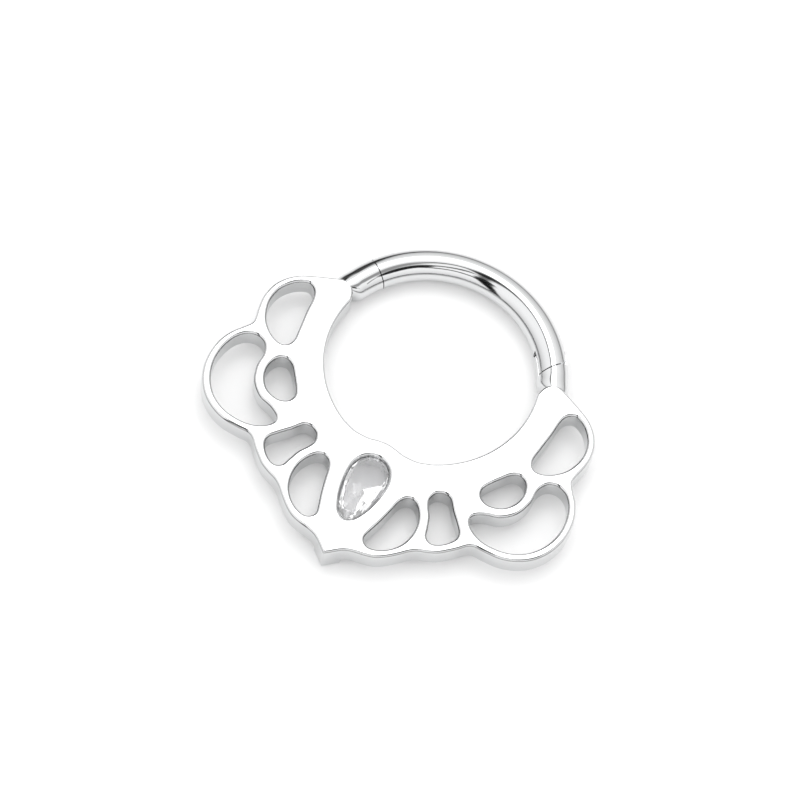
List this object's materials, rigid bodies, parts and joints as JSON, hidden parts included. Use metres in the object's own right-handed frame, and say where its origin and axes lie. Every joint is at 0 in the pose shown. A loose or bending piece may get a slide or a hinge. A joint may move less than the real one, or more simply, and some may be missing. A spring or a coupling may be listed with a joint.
{
  "type": "clicker ring",
  "caption": "Hinged clicker ring for a piercing: a scalloped, pierced front plate with a flush pear-cut clear stone, closed by a round bar that swings open on a hinge pin.",
  "frame": {"origin": "centre of the ring's hollow, halfway through the wire's thickness", "axes": "+Z out of the front face that carries the stone, -Y towards the plate's tip, +X towards the hinge"},
  "size_m": [0.0152, 0.0141, 0.0012],
  "materials": {
    "polished_steel": "mirror polish with soft polished edges and faint buffing lines",
    "clear_stone": "clear, sharp polished facets"
  },
  "bodies": {
    "front": {"plate": "polished_steel", "stone": "clear_stone"},
    "swing_bar": {"bar": "polished_steel", "hinge_pin": "polished_steel"}
  },
  "joints": [
    {"name": "bar_hinge", "type": "hinge", "parent": "front", "child": "swing_bar", "pos_m": [0.00355, 0.00292, 0], "axis": [0, 0, -1], "range_deg": [0, 85]}
  ]
}
